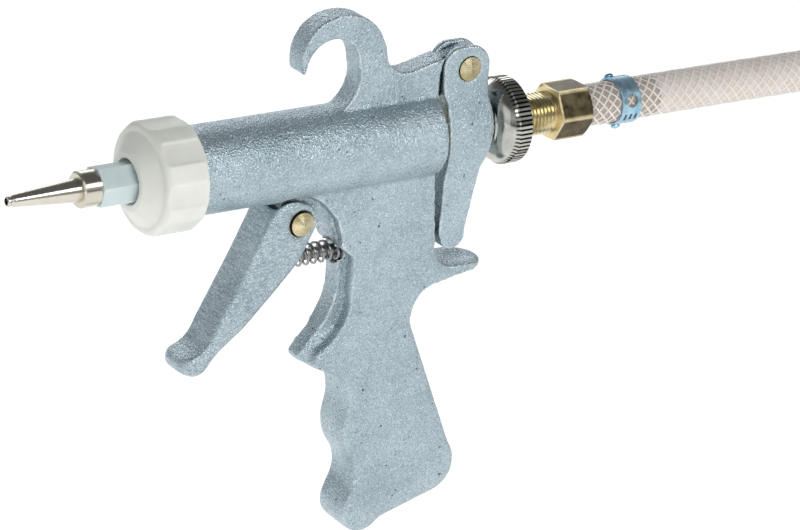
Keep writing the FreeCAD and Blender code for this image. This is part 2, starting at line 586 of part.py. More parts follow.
def make_clamp(label_prefix, axis_point, direction, side, start, end):
    """Hose clamp: a band round the hose, and a screw in a small housing on the given side."""
    outer = dim("hose_radius") + dim("clamp_thickness")
    width = end - start
    base = axis_point + direction * start
    band = Part.makeCylinder(outer, width, base, direction)
    band = band.cut(Part.makeCylinder(dim("hose_radius"), width, base, direction))
    finish_shape(label_prefix + "_band", band)
    across = direction.cross(side)
    frame = FreeCAD.Matrix(direction.x, across.x, side.x, base.x, direction.y, across.y, side.y, base.y,
                           direction.z, across.z, side.z, base.z, 0, 0, 0, 1)
    housing = Part.makeBox(width - 1.0, 8.0, 4.0, Vector(0.5, -4.0, outer - 0.05))
    screw_hole = Part.makeCylinder(1.55, 10.0, Vector(width / 2, -5.0, outer + 2.0), Vector(0, 1, 0))
    housing = housing.cut(screw_hole).cut(Part.makeCylinder(outer, width, Vector(0, 0, 0), Vector(1, 0, 0)))
    screw = Part.makeCylinder(1.5, 10.6, Vector(width / 2, -5.3, outer + 2.0), Vector(0, 1, 0))
    screw = screw.fuse(Part.makeCylinder(2.6, 2.2, Vector(width / 2, 5.3, outer + 2.0), Vector(0, 1, 0)))
    finish_shape(label_prefix + "_housing", housing.transformGeometry(frame))
    finish_shape(label_prefix + "_screw", screw.transformGeometry(frame))


# ---------------------------------------------------------------- hose

HOSE_ROUTE = [(-69, 0, 0), (-140, 0, 0), (-234, -1, -2), (-345, -26, -103), (-350, -62, -218),
              (-280, -86, -289.25), (-192, -86, -289.25)]


def tube_path(points):
    """Straight runs joined by tangent arcs, each as large as its two runs allow."""
    points = [Vector(*point) for point in points]
    edges = []
    here = points[0]
    for before, corner, after in zip(points, points[1:], points[2:]):
        into = (corner - before).normalize()
        out = (after - corner).normalize()
        half_turn = into.getAngle(out) / 2
        reach = 0.45 * min(corner.distanceToPoint(before), corner.distanceToPoint(after))
        radius = reach / math.tan(half_turn)
        print("hose arc radius %.1f mm" % radius)
        start, end = corner - into * reach, corner + out * reach
        bulge = (out - into).normalize()
        middle = corner + bulge * (radius / math.cos(half_turn) - radius)
        edges += [Part.LineSegment(here, start).toShape(), Part.Arc(start, middle, end).toShape()]
        here = end
    edges.append(Part.LineSegment(here, points[-1]).toShape())
    return Part.Wire(edges)


def hollow_tube(path, direction):
    """The hose's ring section swept along a path that starts in the given direction."""
    start = path.Vertexes[0].Point
    solids = []
    for radius in (dim("hose_radius"), dim("hose_bore_radius")):
        section = Part.Wire([Part.makeCircle(radius, start, direction)])
        solids.append(path.makePipeShell([section], True, False))
    tube = solids[0].cut(solids[1])
    area = math.pi * (dim("hose_radius") ** 2 - dim("hose_bore_radius") ** 2)
    print("hose tube volume %.0f, section times length %.0f" % (tube.Volume, area * path.Length))
    return tube


def make_hose():
    """The lead from the gun to the bench, a coil of stacked turns, and a tail with its own fitting."""
    finish_shape("hose_lead", hollow_tube(tube_path(HOSE_ROUTE), Vector(-1, 0, 0)))

    radius, outer = dim("coil_radius"), dim("hose_radius")
    centre_x, bench = dim("coil_centre_x"), dim("bench_z")
    lift = dim("tail_lift")
    height = (dim("coil_turns") + 1) * 2 * outer + lift
    centre = Vector(centre_x, 0, bench)
    coil = Part.makeCylinder(radius + outer, height, centre)
    coil = coil.cut(Part.makeCylinder(radius - outer, height, centre))
    finish_shape("hose_coil", coil)

    tail_axis = Vector(dim("tail_x"), radius, bench + outer + lift)
    tail_length = 34.0
    tail = Part.makeCylinder(outer, tail_length, tail_axis, Vector(-1, 0, 0))
    tail = tail.cut(Part.makeCylinder(dim("hose_bore_radius"), tail_length, tail_axis, Vector(-1, 0, 0)))
    finish_shape("hose_tail", tail)

    # Swivel nut and spigot for the supply, at the end of the tail.
    end = tail_axis + Vector(-tail_length, 0, 0)
    along = Vector(-1, 0, 0)
    spigot = Part.makeCylinder(dim("hose_bore_radius") - 0.02, 24.0, end - along * 22.0, along)
    spigot = spigot.fuse(Part.makeCylinder(7.0, 6.0, end, along))
    spigot = spigot.cut(Part.makeCylinder(3.2, 30.0, end - along * 22.0, along))
    finish_shape("supply_spigot", spigot)
    corners = [Vector(end.x - 2.0, end.y + y * 0.74, end.z + z * 0.74) for y, z in hexagon(11.0)]
    nut = Part.Face(Part.makePolygon(corners + corners[:1])).extrude(Vector(-12.0, 0, 0))
    nut = nut.cut(Part.makeCylinder(7.02, 4.0, Vector(end.x - 2.0, end.y, end.z), along))
    nut = nut.cut(Part.makeCylinder(6.4, 14.0, end, along))
    finish_shape("supply_nut", nut)
    make_clamp("supply_clamp", tail_axis, along, Vector(0, 0.34, 0.94), 18.0, 27.6)


make_gun_body()
make_pin("trigger_pin", "trigger_pin_x", "trigger_pin_z", "trigger_width")
make_pin("lever_pin", "lever_pin_x", "lever_pin_z", "lever_head_width")
make_trigger()
make_rear_lever()
make_push_rod()
make_springs()
make_feed_tube()
make_knob()
make_barrel_inner()
make_front_cap()
make_nozzle()
make_connector()
make_clamp("hose_clamp", Vector(dim("clamp_rear_x"), 0, 0), Vector(1, 0, 0), Vector(0, -0.94, -0.34), 0.0,
           dim("clamp_front_x") - dim("clamp_rear_x"))
make_hose()
doc.recompute()

for item in doc.Objects:
    if "Invalid" in item.State or "Error" in item.State:
        raise RuntimeError("%s is in state %s" % (item.Label, item.State))
os.makedirs("parts", exist_ok=True)
for item in SUB_PARTS:
    if item.Shape.isNull() or not item.Shape.isValid():
        raise RuntimeError("%s has no valid shape" % item.Label)
    item.Shape.exportStep(os.path.join("parts", item.Label + ".step"))
    box = item.Shape.BoundBox
    print("%-18s %9.0f mm3  x %.1f..%.1f  y %.1f..%.1f  z %.1f..%.1f  solids %d" % (
        item.Label, item.Shape.Volume, box.XMin, box.XMax, box.YMin, box.YMax, box.ZMin, box.ZMax,
        len(item.Shape.Solids)))
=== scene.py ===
import math

import bmesh
import bpy
import numpy as np
from mathutils import Matrix, Vector


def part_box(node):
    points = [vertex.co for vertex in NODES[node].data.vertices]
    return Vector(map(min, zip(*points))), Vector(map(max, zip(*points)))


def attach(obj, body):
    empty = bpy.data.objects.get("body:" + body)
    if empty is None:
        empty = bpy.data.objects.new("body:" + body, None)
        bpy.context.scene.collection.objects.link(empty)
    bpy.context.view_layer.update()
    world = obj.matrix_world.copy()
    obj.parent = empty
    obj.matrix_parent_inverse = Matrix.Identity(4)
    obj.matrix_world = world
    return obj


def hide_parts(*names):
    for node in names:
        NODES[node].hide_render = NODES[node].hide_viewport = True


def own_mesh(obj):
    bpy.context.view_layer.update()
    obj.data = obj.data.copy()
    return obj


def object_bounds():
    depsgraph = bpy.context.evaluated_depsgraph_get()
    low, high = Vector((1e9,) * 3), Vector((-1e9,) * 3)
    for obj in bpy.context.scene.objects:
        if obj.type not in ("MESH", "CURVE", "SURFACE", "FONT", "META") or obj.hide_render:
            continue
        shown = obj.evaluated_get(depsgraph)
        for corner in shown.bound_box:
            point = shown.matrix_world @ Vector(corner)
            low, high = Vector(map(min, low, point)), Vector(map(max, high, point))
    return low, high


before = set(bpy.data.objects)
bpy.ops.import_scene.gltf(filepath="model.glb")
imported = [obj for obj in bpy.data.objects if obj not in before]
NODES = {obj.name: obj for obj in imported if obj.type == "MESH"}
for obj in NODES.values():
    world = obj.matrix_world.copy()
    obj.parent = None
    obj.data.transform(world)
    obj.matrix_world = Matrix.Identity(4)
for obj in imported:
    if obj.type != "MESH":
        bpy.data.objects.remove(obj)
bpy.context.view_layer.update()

scene = bpy.context.scene
MM = 0.001
HOOK_X = 45.0           # the row's origin is the hook's centre, this far in millimetres from the middle
HOOK_Z = 32.0           # of the barrel's rear face
AXIS_Z = -HOOK_Z * MM   # height of the barrel's axis in the row's frame


def row(x, y, z):
    """A point in millimetres from the barrel's rear face, as a point of the row's frame in metres."""
    return Vector(((x - HOOK_X) * MM, y * MM, (z - HOOK_Z) * MM))


# ---------------------------------------------------------------- camera

CAMERA_PLACE = (0.7188, 1.0591, 0.4634)
CAMERA_RIGHT = (-0.8293, 0.5535, 0.0774)
CAMERA_UP = (-0.1561, -0.3625, 0.9188)
CAMERA_BACK = (0.5366, 0.7499, 0.3870)


def make_camera():
    data = bpy.data.cameras.new("main_view")
    data.lens = 173.90
    data.sensor_width = 36.0
    camera = bpy.data.objects.new("main_view", data)
    scene.collection.objects.link(camera)
    turn = Matrix((CAMERA_RIGHT, CAMERA_UP, CAMERA_BACK)).transposed().to_4x4()
    camera.matrix_world = Matrix.Translation(CAMERA_PLACE) @ turn
    scene.camera = camera


make_camera()


# ---------------------------------------------------------------- mesh helpers

def add_mesh(name, vertices, faces, smooth=True):
    """A mesh object from lists of points and faces."""
    mesh = bpy.data.meshes.new(name)
    mesh.from_pydata([tuple(v) for v in vertices], [], faces)
    mesh.validate()
    mesh.polygons.foreach_set("use_smooth", [smooth] * len(mesh.polygons))
    mesh.update()
    obj = bpy.data.objects.new(name, mesh)
    scene.collection.objects.link(obj)
    return obj


def finish_piece(obj, material, body, slot, *replaced):
    """Gives a new piece its material and body, and hides the CAD nodes that it stands for; slot is not
    used.
    """
    obj.data.materials.clear()
    obj.data.materials.append(material)
    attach(obj, body)
    if replaced:
        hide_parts(*replaced)
    return obj


def apply_modifiers(obj):
    """Replaces the object's mesh with what its modifiers make of it."""
    graph = bpy.context.evaluated_depsgraph_get()
    mesh = bpy.data.meshes.new_from_object(obj.evaluated_get(graph))
    obj.modifiers.clear()
    obj.data = mesh


def directions(points):
    """Unit vectors along the path at each point."""
    along = np.gradient(points, axis=0)
    return along / np.linalg.norm(along, axis=1)[:, None]


def travel_frames(points):
    """Two unit vectors across the path at each point, carried along it without twist."""
    along = directions(points)
    side = np.cross(along[0], (0.0, 0.0, 1.0))
    side /= np.linalg.norm(side)
    sides = []
    for direction in along:
        side = side - direction * np.dot(side, direction)
        side /= np.linalg.norm(side)
        sides.append(side)
    sides = np.asarray(sides)
    return sides, np.cross(along, sides)


def path_lengths(points):
    """Distance along the path at each point."""
    steps = np.linalg.norm(np.diff(points, axis=0), axis=1)
    return np.concatenate(([0.0], np.cumsum(steps)))


def resample(points, step):
    """The path's points at equal distances."""
    far = path_lengths(points)
    count = int(round(far[-1] / step)) + 1
    wanted = np.linspace(0.0, far[-1], count)
    return np.stack([np.interp(wanted, far, points[:, k]) for k in range(3)], axis=1)


# ---------------------------------------------------------------- hose

HOSE_RADIUS = 0.00825
WALL_INNER_RADIUS = 0.0080
LINING_RADIUS = 0.0073
LINING_BORE = 0.0050
SLEEVE_BORE = 0.0070
RING_STEP = 0.003
BARB_LENGTH = 0.033
SPIGOT_LENGTH = 0.024
COIL_CENTRE = (-0.237, 0.0)
COIL_RADIUS = 0.086
COIL_TOP_Z = -0.32125
COIL_POINTS_PER_TURN = 12
COIL_TURNS = 2.5
COIL_DROP = COIL_TURNS * 2 * HOSE_RADIUS

LEAD_POINTS = [
    (-0.114, 0.0, -0.032), (-0.185, 0.0, -0.032), (-0.279, -0.001, -0.034), (-0.390, -0.026, -0.135),
    (-0.395, -0.062, -0.250), (-0.325, -0.086, -0.32125), (-0.237, -0.086, -0.32125)]
TAIL_POINTS = [(-0.284, 0.086, -0.36255), (-0.318, 0.086, -0.36255)]


def coil_points():
    """Control points round the coil: their polygon touches the turns at the middle of each side."""
    half_step = math.pi / COIL_POINTS_PER_TURN
    count = int(COIL_TURNS * COIL_POINTS_PER_TURN)
    reach = COIL_RADIUS / math.cos(half_step)
    found = []
    for k in range(count):
        angle = -math.pi / 2 + half_step * (2 * k + 1)
        found.append((COIL_CENTRE[0] + reach * math.cos(angle), COIL_CENTRE[1] + reach * math.sin(angle),
                      COIL_TOP_Z - COIL_DROP * (k + 0.5) / count))
    return found


def hose_line():
    """The hose's centreline, read from its NURBS spline."""
    curve = bpy.data.curves.new("hose_route", "CURVE")
    curve.dimensions = "3D"
    curve.resolution_u = 16
    points = LEAD_POINTS + coil_points() + TAIL_POINTS
    spline = curve.splines.new("NURBS")
    spline.points.add(len(points) - 1)
    for place, point in zip(spline.points, points):
        place.co = (*point, 1.0)
    spline.order_u = 3
    spline.use_endpoint_u = True
    obj = bpy.data.objects.new("hose_route", curve)
    scene.collection.objects.link(obj)
    graph = bpy.context.evaluated_depsgraph_get()
    mesh = bpy.data.meshes.new_from_object(obj.evaluated_get(graph))
    line = np.array([v.co[:] for v in mesh.vertices])
    bpy.data.objects.remove(obj)
    bpy.data.meshes.remove(mesh)
    return line


def tube(name, points, outer, inner, sides):
    """A closed tube with a wall: outer surface, inner surface and a ring at each end."""
    side, up = travel_frames(points)
    angles = np.linspace(0.0, 2 * math.pi, sides, endpoint=False)[None, :, None]
    wheel = np.cos(angles) * side[:, None, :] + np.sin(angles) * up[:, None, :]
    vertices = np.concatenate([(points[:, None, :] + wheel * radius).reshape(-1, 3)
                               for radius in (outer, inner)])
    rings = len(points)
    shell = rings * sides
    spots = [(k, (k + 1) % sides) for k in range(sides)]
    faces = []
    for i in range(rings - 1):
        faces += [[i * sides + k, i * sides + after, (i + 1) * sides + after, (i + 1) * sides + k]
                  for k, after in spots]
    faces += [[shell + corner for corner in reversed(quad)] for quad in faces]
    for i, flip in ((0, False), (rings - 1, True)):
        for k, after in spots:
            here, there = i * sides + k, i * sides + after
            quad = [here, shell + here, shell + there, there]
            faces.append(quad[::-1] if flip else quad)
    return add_mesh(name, vertices, faces)


BRAID_STRANDS = 11
BRAID_PITCH = 0.046
BRAID_RADIUS = 0.00770
STRAND_HALF_WIDTH = 0.00042
STRAND_HALF_THICKNESS = 0.00018
WEAVE_HEIGHT = 0.00012


def braid(name, points):
    """Two sets of crossing helical strands laid in the hose's wall."""
    side, up = travel_frames(points)
    far = path_lengths(points)
    along = directions(points)
    vertices, faces = [], []
    count = len(points)
    for direction in (1, -1):
        for strand in range(BRAID_STRANDS):
            angle = direction * 2 * math.pi * far / BRAID_PITCH + 2 * math.pi * strand / BRAID_STRANDS
            outward = np.cos(angle)[:, None] * side + np.sin(angle)[:, None] * up
            tangent = -np.sin(angle)[:, None] * side + np.cos(angle)[:, None] * up
            weave = np.sin(BRAID_STRANDS * angle * direction + math.pi * (direction > 0)) * WEAVE_HEIGHT
            slope = direction * 2 * math.pi * BRAID_RADIUS / BRAID_PITCH
            across = tangent - along * slope
            across /= np.linalg.norm(across, axis=1)[:, None]
            middle = points + outward * (BRAID_RADIUS + weave)[:, None]
            base = len(vertices)
            ring = [middle + across * STRAND_HALF_WIDTH, middle + outward * STRAND_HALF_THICKNESS,
                    middle - across * STRAND_HALF_WIDTH, middle - outward * STRAND_HALF_THICKNESS]
            vertices.extend(np.stack(ring, axis=1).reshape(-1, 3).tolist())
            for i in range(count - 1):
                for k in range(4):
                    after = (k + 1) % 4
                    faces.append([base + 4 * i + k, base + 4 * i + after,
                                  base + 4 * i + 4 + after, base + 4 * i + 4 + k])
            faces.append([base + 3, base + 2, base + 1, base])
            last = base + 4 * (count - 1)
            faces.append([last, last + 1, last + 2, last + 3])
    return add_mesh(name, vertices, faces)


# ---------------------------------------------------------------- node materials

class Nodes:
    """A short way to write a node tree: each call adds one node and returns its output.

    Scales are in features for each metre, and bump distances in metres."""

    def __init__(self, name):
        self.material = bpy.data.materials.new(name)
        self.material.use_nodes = True
        self.tree = self.material.node_tree
        self.shader = self.tree.nodes["Principled BSDF"]
        self.place = self.add("ShaderNodeTexCoord").outputs["Object"]

    def add(self, kind, **settings):
        node = self.tree.nodes.new(kind)
        for key, value in settings.items():
            setattr(node, key, value)
        return node

    def put(self, socket, value):
        """Links an output, or sets a plain value."""
        if isinstance(value, bpy.types.NodeSocket):
            self.tree.links.new(value, socket)
        elif value is not None:
            socket.default_value = value

    def scaled(self, factors):
        node = self.add("ShaderNodeVectorMath", operation="MULTIPLY")
        self.put(node.inputs[0], self.place)
        node.inputs[1].default_value = factors
        return node.outputs[0]

    def noise(self, scale, detail, roughness, place=None):
        node = self.add("ShaderNodeTexNoise")
        self.put(node.inputs["Vector"], place or self.place)
        node.inputs["Scale"].default_value = scale
        node.inputs["Detail"].default_value = detail
        node.inputs["Roughness"].default_value = roughness
        return node.outputs["Fac"]

    def cells(self, scale):
        node = self.add("ShaderNodeTexVoronoi")
        self.put(node.inputs["Vector"], self.place)
        node.inputs["Scale"].default_value = scale
        return node.outputs["Distance"]

    def math(self, operation, first, second=0.0, third=None):
        node = self.add("ShaderNodeMath", operation=operation)
        self.put(node.inputs[0], first)
        self.put(node.inputs[1], second)
        if third is not None:
            self.put(node.inputs[2], third)
        return node.outputs[0]

    def ramp(self, source, *stops):
        """Maps a factor to a colour or grey; each stop is (place, grey or colour)."""
        node = self.add("ShaderNodeValToRGB")
        elements = node.color_ramp.elements
        while len(elements) < len(stops):
            elements.new(0.5)
        for element, (place, colour) in zip(elements, stops):
            element.position = place
            grey = not isinstance(colour, (tuple, list))
            element.color = (colour, colour, colour, 1.0) if grey else (*colour, 1.0)
        self.put(node.inputs[0], source)
        return node.outputs[0]

    def mix(self, factor, first, second):
        node = self.add("ShaderNodeMix", data_type="RGBA")
        self.put(node.inputs[0], factor)
        for socket, value in ((node.inputs[6], first), (node.inputs[7], second)):
            if isinstance(value, tuple) and len(value) == 3:
                value = (*value, 1.0)
            self.put(socket, value)
        return node.outputs[2]

    def bump(self, height, distance, strength=1.0, before=None):
        node = self.add("ShaderNodeBump")
        node.inputs["Strength"].default_value = strength
        node.inputs["Distance"].default_value = distance
        self.put(node.inputs["Height"], height)
        self.put(node.inputs["Normal"], before)
        return node.outputs[0]

    def shade(self, reach):
        """How deep in a gap or corner a point lies: 0 in the open, 1 well inside."""
        node = self.add("ShaderNodeAmbientOcclusion", samples=8)
        node.inputs["Distance"].default_value = reach
        return self.ramp(node.outputs["AO"], (0.12, 1.0), (0.62, 0.0))

    def split(self):
        node = self.add("ShaderNodeSeparateXYZ")
        self.put(node.inputs[0], self.place)
        return node.outputs

    def reach(self, first, second):
        """Distance from an axis, from the two distances across it."""
        return self.math("SQRT", self.math("ADD", self.math("MULTIPLY", first, first),
                                           self.math("MULTIPLY", second, second)))

    def around_x(self, centre_z, centre_y=0.0):
        """(x, radius, angle) round an axis along X, in metres and turns."""
        x, y, z = self.split()
        y = self.math("SUBTRACT", y, centre_y)
        height = self.math("SUBTRACT", z, centre_z)
        angle = self.math("DIVIDE", self.math("ARCTAN2", height, y), 2 * math.pi)
        return x, self.reach(y, height), angle

    def radius_about_y(self, centre_x, centre_z):
        """Distance in metres from an axis along Y."""
        x, _, z = self.split()
        return self.reach(self.math("SUBTRACT", x, centre_x), self.math("SUBTRACT", z, centre_z))

    def set(self, **values):
        """Sets the shader's sockets by name, with underscores for spaces."""
        for key, value in values.items():
            if isinstance(value, tuple) and len(value) == 3:
                value = (*value, 1.0) if "Color" in key else value
            self.put(self.shader.inputs[key.replace("_", " ")], value)
        return self.material


KNURL_COUNT = 60


def cast_metal(name, grain=1.0, scratch_step=None):
    """Shot-peened zinc casting: bluish grey, pitted grain with painted shade in its pits and painted
    highlight on its peaks, bright worn edges, and painted shade in creases and gaps between parts.

    scratch_step gives three densities of fine grinding lines along X, Y and Z."""
    n = Nodes(name)
    stain = n.ramp(n.noise(60.0, 5.0, 0.62), (0.32, (0.32, 0.410, 0.455)), (0.50, (0.40, 0.495, 0.545)),
                   (0.70, (0.46, 0.555, 0.605)))
    pits = n.math("ADD", n.math("MULTIPLY", n.cells(1500.0), 0.45), n.noise(1150.0, 3.0, 0.62))
    # painted shade in the grain's pits, then painted highlight on its peaks, mixed into the colour
    colour = n.mix(n.ramp(pits, (0.52, 0.34), (0.64, 0.0)), stain, (0.17, 0.215, 0.235))
    colour = n.mix(n.ramp(pits, (0.74, 0.0), (0.90, 0.34)), colour, (0.72, 0.79, 0.81))
    specks = n.ramp(n.noise(520.0, 2.0, 0.5), (0.27, 1.0), (0.31, 0.0))
    zones = n.ramp(n.noise(95.0, 3.0, 0.6), (0.46, 0.0), (0.56, 1.0))
    colour = n.mix(n.math("MULTIPLY", specks, zones), colour, (0.06, 0.075, 0.08))
    if scratch_step:
        lines = n.noise(1.0, 3.0, 0.7, n.scaled(scratch_step))
        colour = n.mix(n.ramp(lines, (0.36, 0.45), (0.50, 0.0)), colour, (0.13, 0.16, 0.18))
        colour = n.mix(n.ramp(lines, (0.54, 0.0), (0.66, 0.40)), colour, (0.72, 0.78, 0.80))
    shape = n.add("ShaderNodeNewGeometry").outputs["Pointiness"]
    worn = n.math("MULTIPLY", n.ramp(shape, (0.512, 0.0), (0.536, 1.0)),
                  n.ramp(n.noise(150.0, 3.0, 0.6), (0.40, 0.05), (0.60, 0.60)))
    colour = n.mix(worn, colour, (0.80, 0.86, 0.88))
    # painted shade: darker in concave creases and where nearby surfaces close in, between parts too
    painted_shade = n.math("MAXIMUM", n.ramp(shape, (0.455, 0.40), (0.488, 0.0)), n.shade(0.004))
    colour = n.mix(painted_shade, colour, (0.028, 0.038, 0.044))
    normal = n.bump(n.noise(330.0, 4.0, 0.6), 0.00050 * grain, 0.5)
    normal = n.bump(pits, 0.00048 * grain, 0.8, normal)
    if scratch_step:
        normal = n.bump(lines, 0.00030, 0.7, normal)
    rough = n.ramp(pits, (0.50, 0.48), (0.80, 0.27))
    return n.set(Base_Color=colour, Metallic=0.80, Roughness=rough, Normal=normal)


def brass(name, turned_about=None):
    """Machined brass; turned_about gives (x, z) of an axis along Y with turning rings round it."""
    n = Nodes(name)
    tone = n.noise(140.0, 4.0, 0.6)
    colour = n.ramp(tone, (0.35, (0.50, 0.42, 0.23)), (0.65, (0.80, 0.70, 0.46)))
    normal = n.bump(n.noise(900.0, 3.0, 0.6), 0.00005, 0.5)
    if turned_about:
        radius = n.radius_about_y(*turned_about)
        rings = n.math("SINE", n.math("MULTIPLY", radius, 2 * math.pi / 0.00045))
        normal = n.bump(n.math("SUBTRACT", 1.0, radius), 0.28, 1.0, normal)
        normal = n.bump(rings, 0.00006, 0.8, normal)
    rough = n.ramp(tone, (0.3, 0.16), (0.7, 0.30))
    return n.set(Base_Color=colour, Metallic=1.0, Roughness=rough, Normal=normal)


def oxidised_brass(name, node, edge_radius):
    """Browned brass of a nut on an axis along X, bright on its chamfer and worn along its edges."""
    n = Nodes(name)
    low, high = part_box(node)
    x, radius, _ = n.around_x((low.z + high.z) / 2, (low.y + high.y) / 2)
    cloud = n.noise(230.0, 4.0, 0.6)
    film = n.ramp(cloud, (0.32, (0.045, 0.034, 0.018)), (0.66, (0.135, 0.112, 0.062)))
    bright = n.ramp(cloud, (0.3, (0.62, 0.50, 0.26)), (0.7, (0.86, 0.75, 0.48)))
    worn = n.ramp(n.math("DIVIDE", radius, edge_radius), (0.945, 0.0), (0.985, 0.85))
    from_front = n.math("DIVIDE", n.math("SUBTRACT", high.x, x), 0.0012)
    front = n.ramp(from_front, (0.55, 1.0), (0.95, 0.0))
    inside = n.ramp(n.math("DIVIDE", radius, edge_radius), (0.60, 1.0), (0.64, 0.0))
    shine = n.math("MAXIMUM", n.math("MAXIMUM", worn, front), inside)
    rough = n.ramp(cloud, (0.3, 0.24), (0.7, 0.40))
    grain = n.noise(1.0, 3.0, 0.6, n.scaled((1800.0, 160.0, 160.0)))
    normal = n.bump(grain, 0.00005, 0.6, n.bump(cloud, 0.00012, 0.5))
    return n.set(Base_Color=n.mix(shine, film, bright), Metallic=1.0, Roughness=rough, Normal=normal)


def plated(name, colour, roughness, ring_pitch=0.0006, tarnish=0.15):
    """Polished plated metal turned about the barrel's axis."""
    n = Nodes(name)
    x, radius, _ = n.around_x(AXIS_Z)
    rings = n.math("SINE", n.math("MULTIPLY", n.math("ADD", x, radius), 2 * math.pi / ring_pitch))
    cloud = n.noise(180.0, 4.0, 0.6)
    tint = n.mix(n.ramp(cloud, (0.4, 0.0), (0.7, tarnish)), colour, (0.50, 0.42, 0.26))
    rough = n.ramp(n.noise(300.0, 3.0, 0.6), (0.3, roughness * 0.7), (0.7, roughness * 1.5))
    normal = n.bump(rings, 0.00002, 0.7, n.bump(cloud, 0.00006, 0.4))
    return n.set(Base_Color=tint, Metallic=1.0, Roughness=rough, Normal=normal)


def knurled_chrome(name, node):
    """Satin chrome of the knob, with painted shade in the grooves of its knurled rim."""
    n = Nodes(name)
    low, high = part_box(node)
    _, radius, angle = n.around_x((low.z + high.z) / 2, (low.y + high.y) / 2)
    reach = (high.z - low.z) / 2
    wave = n.math("COSINE", n.math("MULTIPLY", angle, 2 * math.pi * KNURL_COUNT))
    groove = n.ramp(n.math("MULTIPLY_ADD", wave, 0.5, 0.5), (0.35, 0.0), (0.75, 1.0))
    on_rim = n.ramp(n.math("DIVIDE", radius, reach), (0.925, 0.0), (0.945, 1.0))
    # painted shade in the knurl's grooves on the rim
    dark = n.math("MULTIPLY", groove, on_rim)
    cloud = n.noise(180.0, 4.0, 0.6)
    plate = n.ramp(cloud, (0.3, (0.38, 0.38, 0.35)), (0.7, (0.54, 0.54, 0.50)))
    colour = n.mix(dark, plate, (0.05, 0.045, 0.035))
    rough = n.ramp(n.noise(300.0, 3.0, 0.6), (0.3, 0.10), (0.7, 0.20))
    return n.set(Base_Color=colour, Metallic=1.0, Roughness=rough, Normal=n.bump(cloud, 0.00008, 0.4))


def nylon(name, colour, mark, subsurface):
    """Milky moulded nylon with faint flow marks."""
    n = Nodes(name)
    flow = n.noise(55.0, 4.0, 0.55)
    tint = n.ramp(flow, (0.35, mark), (0.62, colour))
    normal = n.bump(n.noise(160.0, 4.0, 0.5), 0.00018, 0.5)
    normal = n.bump(n.noise(1300.0, 2.0, 0.5), 0.00003, 0.5, normal)
    rough = n.ramp(n.noise(220.0, 3.0, 0.6), (0.3, 0.30), (0.7, 0.48))
    n.shader.inputs["Subsurface Weight"].default_value = subsurface
    n.shader.inputs["Subsurface Radius"].default_value = (0.004, 0.0038, 0.0032)
    n.shader.inputs["Subsurface Scale"].default_value = 0.8
    n.shader.inputs["IOR"].default_value = 1.5
    return n.set(Base_Color=tint, Roughness=rough, Normal=normal)


def zinc(name):
    """Blue-passivated zinc plate on the hose clamps."""
    n = Nodes(name)
    cloud = n.noise(220.0, 4.0, 0.6)
    tint = n.ramp(cloud, (0.3, (0.20, 0.37, 0.50)), (0.55, (0.38, 0.58, 0.70)), (0.75, (0.52, 0.70, 0.79)))
    grain = n.noise(1.0, 3.0, 0.6, n.scaled((2400.0, 260.0, 260.0)))
    rough = n.ramp(n.noise(500.0, 3.0, 0.6), (0.3, 0.20), (0.7, 0.38))
    normal = n.bump(grain, 0.00004, 0.5, n.bump(cloud, 0.0001, 0.4))
    return n.set(Base_Color=tint, Metallic=0.80, Roughness=rough, Normal=normal)


def steel(name, colour=(0.42, 0.42, 0.41), roughness=0.3):
    """Drawn steel with fine marks along X."""
    n = Nodes(name)
    grain = n.noise(1.0, 3.0, 0.6, n.scaled((150.0, 2200.0, 2200.0)))
    tint = n.mix(n.ramp(grain, (0.4, 0.0), (0.7, 0.6)), colour, (0.20, 0.19, 0.18))
    rough = n.ramp(grain, (0.3, roughness * 0.8), (0.7, roughness * 1.5))
    return n.set(Base_Color=tint, Metallic=1.0, Roughness=rough, Normal=n.bump(grain, 0.00004, 0.5))


def rubber(name):
    """Black moulded rubber."""
    n = Nodes(name)
    speck = n.noise(700.0, 3.0, 0.6)
    tint = n.ramp(speck, (0.3, (0.02, 0.02, 0.022)), (0.7, (0.045, 0.045, 0.047)))
    return n.set(Base_Color=tint, Roughness=0.7, Normal=n.bump(speck, 0.0001, 0.5))


def hose_outer(name):
    """Clear PVC with a pinkish cast, slightly hazy."""
    n = Nodes(name)
    haze = n.noise(120.0, 4.0, 0.6)
    tint = n.ramp(haze, (0.3, (0.88, 0.78, 0.70)), (0.7, (0.98, 0.92, 0.87)))
    rough = n.ramp(n.noise(400.0, 2.0, 0.5), (0.3, 0.14), (0.7, 0.26))
    normal = n.bump(n.noise(260.0, 3.0, 0.5), 0.00022, 0.5)
    n.shader.inputs["Alpha"].default_value = 0.17
    n.shader.inputs["IOR"].default_value = 1.52
    return n.set(Base_Color=tint, Roughness=rough, Normal=normal)


def hose_inner(name):
    """The milky inner tube of the hose."""
    n = Nodes(name)
    cloud = n.noise(150.0, 4.0, 0.6)
    tint = n.ramp(cloud, (0.3, (0.74, 0.65, 0.59)), (0.7, (0.88, 0.81, 0.76)))
    return n.set(Base_Color=tint, Roughness=0.5, Normal=n.bump(cloud, 0.0002, 0.4))


def hose_stretched(name):
    """The hose's inner layer where the barb stretches it: thinner and browned by the brass behind it."""
    n = Nodes(name)
    cloud = n.noise(260.0, 4.0, 0.6)
    tint = n.ramp(cloud, (0.3, (0.34, 0.25, 0.15)), (0.7, (0.56, 0.45, 0.31)))
    n.shader.inputs["Alpha"].default_value = 0.50
    return n.set(Base_Color=tint, Roughness=0.35, Normal=n.bump(cloud, 0.0002, 0.4))


def thread_white(name):
    """Polyester braid."""
    n = Nodes(name)
    fibre = n.noise(2500.0, 2.0, 0.6)
    tint = n.ramp(fibre, (0.3, (0.90, 0.88, 0.85)), (0.7, (1.0, 0.99, 0.97)))
    return n.set(Base_Color=tint, Roughness=0.42, Normal=n.bump(fibre, 0.00006, 0.5))


# ---------------------------------------------------------------- hose clamps

